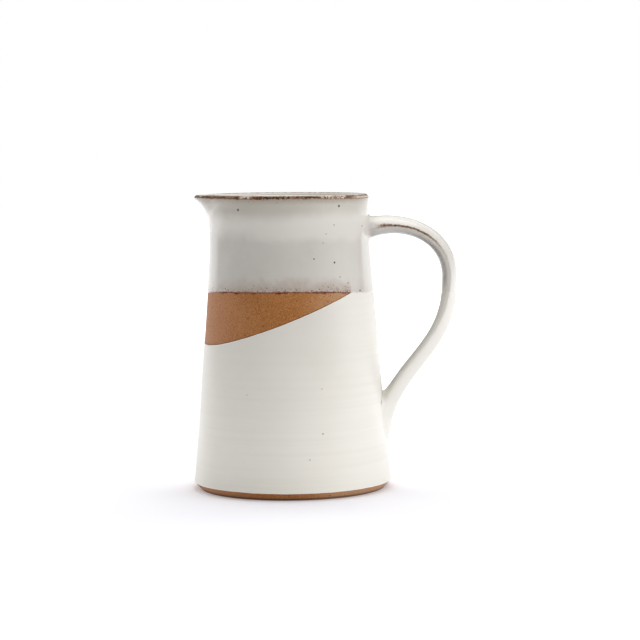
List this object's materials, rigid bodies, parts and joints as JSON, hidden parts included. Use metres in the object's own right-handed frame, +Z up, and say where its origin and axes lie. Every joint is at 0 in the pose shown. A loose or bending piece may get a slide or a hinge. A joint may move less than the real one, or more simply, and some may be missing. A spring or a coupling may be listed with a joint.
{
  "type": "stoneware carafe",
  "caption": "Thrown stoneware carafe, a tapering jug with a pulled pouring lip, a pulled strap handle and two dipped glazes with a wedge of bare clay between them.",
  "frame": {"origin": "middle of the flat standing face under the foot", "axes": "+Z up along the turning axis, +X towards the handle, -X towards the pouring lip"},
  "size_m": [0.1712, 0.1272, 0.1907],
  "materials": {
    "stoneware": "bare fired clay, matt and sandy",
    "gloss_glaze": "glossy grey-white glaze, breaking brown at edges, with iron specks",
    "satin_glaze": "satin cream glaze with a few iron specks"
  },
  "bodies": {
    "root": {"clay_body": "stoneware", "handle_strap": "stoneware", "upper_joint_slip": "stoneware", "lower_joint_slip": "stoneware", "upper_glaze": "gloss_glaze", "inner_glaze": "gloss_glaze", "handle_upper_glaze": "gloss_glaze", "lower_glaze": "satin_glaze", "handle_lower_glaze": "satin_glaze"}
  },
  "joints": []
}
